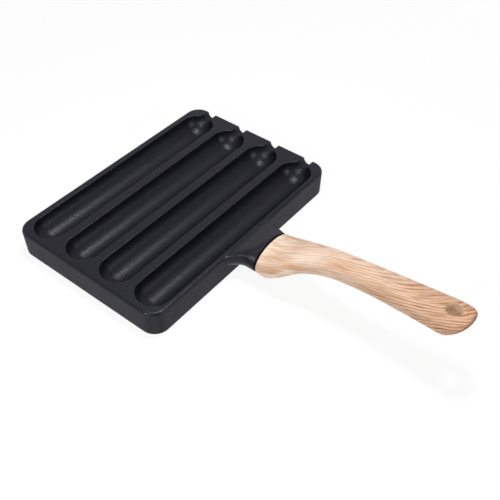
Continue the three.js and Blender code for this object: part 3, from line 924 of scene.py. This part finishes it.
def handle_shape(handle):
    """The handle's skin: oval sections along a rising line, and an end whose top reaches out."""

    def section(way, drawn_in=0.0):
        rise, half_width, half_depth = handle_curve(way)
        full = ROOT_FULLNESS + (GRIP_FULLNESS - ROOT_FULLNESS) * min(way / BELLY_AT, 1.0)
        return oval(HANDLE_LOW.x + way, JOINT_Z + rise, half_width - drawn_in,
                    half_depth - drawn_in, full)

    rings = [section(out, depth) for depth, out in round_edge(handle.root_edge)[:-1]]
    rings += [section(way) for way in np.linspace(handle.root_edge, GRIP_END, HANDLE_STEPS)]
    rise, half_width, half_depth = handle_curve(GRIP_END)
    for step in range(1, END_STEPS + 1):
        way = 1 - (1 - step / END_STEPS) ** 2
        shrink = (1 - way ** END_FULLNESS) ** (1 / END_FULLNESS)
        rings.append(oval(HANDLE_LOW.x + GRIP_END + END_LENGTH * way,
                          JOINT_Z + rise + END_SLOPE * END_LENGTH * way,
                          half_width * shrink, half_depth * shrink, GRIP_FULLNESS, way))
    return loft("wooden_handle", rings)


def hang_hole(wood, handle):
    """The hang hole, whose edges roll over into the handle's top and underside."""
    middle_x = HANDLE_HIGH.x - handle.hole_setback
    mesh = wood.data
    tree = BVHTree.FromPolygons([v.co.copy() for v in mesh.vertices],
                                [tuple(p.vertices) for p in mesh.polygons])
    sky, ground = HANDLE_HIGH.z + REACH, HANDLE_LOW.z

    def ring(radius, z_of):
        places = [(middle_x + radius * math.cos(turn), radius * math.sin(turn))
                  for turn in around(HOLE_SEGMENTS)]
        return np.array([(x, y, z_of(x, y)) for x, y in places])

    def surface(x, y, start, way):
        hit, *_ = tree.ray_cast(Vector((x, y, start)), Vector((0, 0, way)))
        if hit is None:
            raise RuntimeError("the hang hole runs past the handle's edge")
        return hit.z

    path = [(depth, handle.hole_radius + out) for depth, out in lip_path(handle.hole_lip)]
    rings = [ring(path[-1][1], lambda x, y: ground)]
    rings += [ring(radius, lambda x, y, d=depth: surface(x, y, ground, 1) + d)
              for depth, radius in path[::-1]]
    rings += [ring(radius, lambda x, y, d=depth: surface(x, y, sky, -1) - d)
              for depth, radius in path]
    rings.append(ring(path[-1][1], lambda x, y: sky))
    return loft("hang_hole", rings)


def mark_grain(wood, handle):
    """Stores where each vertex lies along and across the handle's line, its tip and its bore."""
    x, y, z = vertex_places(wood)
    way = x - HANDLE_LOW.x
    steps = np.linspace(0, GRIP_END, HANDLE_STEPS)
    line = np.array([handle_curve(step)[0] for step in steps])
    steps = np.concatenate([[-GRAIN_EASE], steps, [GRIP_END + 2 * GRAIN_EASE]])
    line = np.concatenate([[-GRAIN_EASE * ROOT_SLOPE], line,
                           [line[-1] + 2 * GRAIN_EASE * END_SLOPE]])
    rise = np.mean([np.interp(way + shift, steps, line)
                    for shift in np.linspace(-GRAIN_EASE, GRAIN_EASE, EASE_STEPS)], axis=0)
    height = z - JOINT_Z - rise
    mark(wood, GRAIN_PLACE, "FLOAT_VECTOR", np.stack([way, y, height], 1))
    end = np.maximum(way - GRIP_END, 0) / np.maximum(END_LENGTH + height, MM)
    mark(wood, BURNISH, "FLOAT",
         np.clip((end - TIP_EDGE[0]) / (TIP_EDGE[1] - TIP_EDGE[0]), 0, 1))
    # The hang hole's wall is marked for its paler tint: bare wood and painted light
    beyond = np.hypot(x - HANDLE_HIGH.x + handle.hole_setback, y) - handle.hole_radius
    mark(wood, BORE_PAINTED_LIGHT, "FLOAT", BORE_LIGHT_SHARE * np.clip(1 - 2 * beyond / handle.hole_lip, 0, 1))


class BUNPAN_OT_wooden_handle(bpy.types.Operator):
    """Build the wooden handle with its hang hole"""

    bl_idname = "bunpan.wooden_handle"
    bl_label = "Wooden Handle"

    def execute(self, context):
        handle = context.scene.bun_pan.handle
        wood = handle_shape(handle)
        carve(wood, hang_hole(wood, handle))
        for low, high in ((INSERT_LOW, INSERT_HIGH), (PIN_LOW, PIN_HIGH)):
            drill(wood, low, high, GASKET_HIGH.x - REACH, high.x + END_GAP)
        shade(wood, HANDLE_CREASE)
        mark_grain(wood, handle)
        present(wood, "handle", ash_wood(context.scene.bun_pan.finish))
        return {"FINISHED"}


class BUNPAN_OT_heat_gasket(bpy.types.Operator):
    """Build the thin gasket between the boss and the handle"""

    bl_idname = "bunpan.heat_gasket"
    bl_label = "Heat Gasket"

    def execute(self, context):
        edge = round_edge(context.scene.bun_pan.handle.gasket_edge)
        half = (GASKET_HIGH - GASKET_LOW) / 2
        path = [(GASKET_LOW.x + out, depth) for depth, out in edge]
        path += [(GASKET_HIGH.x - depth, out) for depth, out in edge]
        gasket = loft("silicone_gasket", [
            oval(x, JOINT_Z, half.y - drawn_in, half.z - drawn_in, ROOT_FULLNESS)
            for x, drawn_in in path])
        for low, high in ((STUD_LOW, STUD_HIGH), (PIN_LOW, PIN_HIGH)):
            drill(gasket, low, high, GASKET_LOW.x - REACH, GASKET_HIGH.x + REACH)
        shade(gasket, HANDLE_CREASE)
        present(gasket, "heat_gasket",
                silicone_rubber(context.scene.bun_pan.finish))
        return {"FINISHED"}


class BUNPAN_OT_hidden_fastening(bpy.types.Operator):
    """Build the stud, the threaded insert and the locating pin inside the joint"""

    bl_idname = "bunpan.hidden_fastening"
    bl_label = "Hidden Fastening"

    def execute(self, context):
        finish = context.scene.bun_pan.finish
        handle = context.scene.bun_pan.handle
        zinc = plated_metal("zinc_plated_steel", finish.steel, ZINC_ROUGHNESS)
        brass = plated_metal("turned_brass", finish.brass, BRASS_ROUGHNESS)
        tree = thread_tree()

        def threaded(name, low, high, pitch, depth, material):
            span = high.x - low.x
            bar = grow(name, tree, Radius=(high.z - low.z) / 2, Depth=depth, Pitch=pitch,
                       Length=span, Segments=THREAD_SEGMENTS,
                       Steps=round(span / pitch * THREAD_STEPS), Material=material)
            bar.data.transform(Matrix.Translation((low + high) / 2))
            return bar

        stud = threaded("threaded_stud", STUD_LOW, STUD_HIGH, handle.stud_pitch,
                        STUD_THREAD * handle.stud_pitch, zinc)
        insert = threaded("wood_insert", INSERT_LOW, INSERT_HIGH, handle.insert_pitch,
                          INSERT_THREAD, brass)
        drill(insert, STUD_LOW, STUD_HIGH, INSERT_LOW.x - REACH, INSERT_HIGH.x + REACH)
        radius = (PIN_HIGH.z - PIN_LOW.z) / 2
        pin = round_bar("dowel_pin", (
            (PIN_LOW.x, radius - PIN_BEVEL), (PIN_LOW.x + PIN_BEVEL, radius),
            (PIN_HIGH.x - PIN_BEVEL, radius), (PIN_HIGH.x, radius - PIN_BEVEL),
        ), (PIN_LOW.y + PIN_HIGH.y) / 2)
        for piece in (stud, insert, pin):
            shade(piece, FASTENING_CREASE)
        present(stud, "handle_stud", zinc)
        present(insert, "threaded_insert", brass)
        present(pin, "locating_pin", zinc)
        return {"FINISHED"}


# The stage: camera, floor, softboxes (name, place, width) with the point they face, the ways from
# the pan over which the floor's shadow fades to white, and the heights between horizon and ceiling

CAMERA_PLACE = Vector((0.3528, -0.3533, 0.4583))
CAMERA_AZIMUTH = math.radians(37.56)
CAMERA_ELEVATION = math.radians(45.23)
CAMERA_ROLL = math.radians(0.83)
CAMERA_NEAR = 10 * MM
FLOOR_DROP = 0.2 * MM
FLOOR_SEGMENTS = 96
LAMPS = (
    ("overhead", (0.05, 0.09, 0.86), 0.18),
    ("front", (0.07, -0.70, 0.44), 0.18),
    ("side", (1.05, 0.09, 0.44), 0.20),
)
LAMP_AIM = Vector((0.02, 0.03, 0.02))
SHADOW_REACH = (0.35, 0.7)
HORIZON = (0.15, 0.5)


def studio_floor(stage):
    """Matt white studio paint, seen as plain white, that keeps a soft shadow near the pan."""
    material, tree = new_material("matt_studio_paint")
    matt = add(tree, "ShaderNodeBsdfDiffuse", {"Color": opaque(stage.floor_colour)})
    place = add(tree, "ShaderNodeTexCoord").outputs["Object"]
    away = add(tree, "ShaderNodeVectorMath", {0: place}, operation="LENGTH")
    plain = add(tree, "ShaderNodeMapRange",
                {"Value": away, "From": SHADOW_REACH, "To": (stage.floor_white, 1.0)})
    share = add(tree, "ShaderNodeMath", {0: seen_directly(tree), 1: plain}, operation="MULTIPLY")
    white = add(tree, "ShaderNodeEmission", {"Color": (1.0, 1.0, 1.0, 1.0), "Strength": 1.0})
    mixed = add(tree, "ShaderNodeMixShader", {0: share, 1: matt, 2: white})
    return finish_material(material, mixed)


def round_floor(stage):
    """A round, level floor just under the pan."""
    points = [(stage.floor_radius * math.cos(t), stage.floor_radius * math.sin(t), -FLOOR_DROP)
              for t in around(FLOOR_SEGMENTS)]
    mesh = bpy.data.meshes.new("studio_floor")
    mesh.from_pydata(points, [], [tuple(range(len(points)))])
    floor = put("studio_floor", mesh)
    floor.data.materials.append(studio_floor(stage))


def studio_air(stage):
    """A world that sheds a little even light, and is seen as white that dims towards the ceiling."""
    world = bpy.data.worlds.new("studio_air")
    world.use_nodes = True
    tree = world.node_tree
    tree.nodes.clear()
    way = add(tree, "ShaderNodeSeparateXYZ",
              {"Vector": add(tree, "ShaderNodeTexCoord").outputs["Generated"]})
    seen = add(tree, "ShaderNodeMapRange",
               {"Value": way.outputs["Z"], "From": HORIZON, "To": (1.0, stage.ceiling)})
    strength = add(tree, "ShaderNodeMapRange",
                   {"Value": seen_directly(tree), "To": (stage.ambient, seen)})
    air = add(tree, "ShaderNodeBackground", {"Color": (1.0, 1.0, 1.0, 1.0), "Strength": strength})
    add(tree, "ShaderNodeOutputWorld", {"Surface": air})
    return world


class BUNPAN_OT_stage(bpy.types.Operator):
    """Set the floor, the soft studio light and the camera"""

    bl_idname = "bunpan.stage"
    bl_label = "Stage"

    def execute(self, context):
        scene = context.scene
        stage = scene.bun_pan.stage
        round_floor(stage)
        for name, place, width in LAMPS:
            lamp = bpy.data.lights.new(name, "AREA")
            lamp.shape = "DISK"
            lamp.size = width
            lamp.energy = getattr(stage, name)
            holder = put(name, lamp)
            holder.location = place
            holder.rotation_mode = "QUATERNION"
            holder.rotation_quaternion = (LAMP_AIM - Vector(place)).to_track_quat("-Z", "Y")
            holder.visible_camera = False
        scene.world = studio_air(stage)
        camera = bpy.data.cameras.new("camera")
        camera.lens = stage.focal_length / MM
        camera.clip_start = CAMERA_NEAR
        scene.camera = put("camera", camera)
        scene.camera.matrix_world = (
            Matrix.Translation(CAMERA_PLACE) @ Matrix.Rotation(CAMERA_AZIMUTH, 4, "Z")
            @ Matrix.Rotation(math.pi / 2 - CAMERA_ELEVATION, 4, "X")
            @ Matrix.Rotation(CAMERA_ROLL, 4, "Z"))
        scene.view_settings.view_transform = "Standard"
        return {"FINISHED"}


class BUNPAN_PT_sidebar(bpy.types.Panel):
    """Sidebar panel with the pan's pieces and settings"""

    bl_idname = "BUNPAN_PT_sidebar"
    bl_label = "Bun Pan"
    bl_space_type = "VIEW_3D"
    bl_region_type = "UI"
    bl_category = "Bun Pan"

    def draw(self, context):
        settings = context.scene.bun_pan
        column = self.layout.column()
        for operator in OPERATORS:
            column.operator(operator.bl_idname)
        for group in (settings.body, settings.handle, settings.finish, settings.stage):
            box = self.layout.box()
            for name in group.__annotations__:
                box.prop(group, name)


OPERATORS = (
    BUNPAN_OT_cast_pan,
    BUNPAN_OT_wooden_handle,
    BUNPAN_OT_heat_gasket,
    BUNPAN_OT_hidden_fastening,
    BUNPAN_OT_stage,
)
GROUPS = (BunPanBody, BunPanHandle, BunPanFinish, BunPanStage, BunPan)


def register():
    for kind in (*GROUPS, *OPERATORS, BUNPAN_PT_sidebar):
        bpy.utils.register_class(kind)
    bpy.types.Scene.bun_pan = PointerProperty(type=BunPan, name="Bun Pan",
                                              description="Settings of the bun pan")


def unregister():
    del bpy.types.Scene.bun_pan
    for kind in reversed((*GROUPS, *OPERATORS, BUNPAN_PT_sidebar)):
        bpy.utils.unregister_class(kind)


def main():
    """Builds every piece and the stage."""
    register()
    bpy.ops.bunpan.cast_pan()
    bpy.ops.bunpan.wooden_handle()
    bpy.ops.bunpan.heat_gasket()
    bpy.ops.bunpan.hidden_fastening()
    bpy.ops.bunpan.stage()


if __name__ == "__main__":
    main()
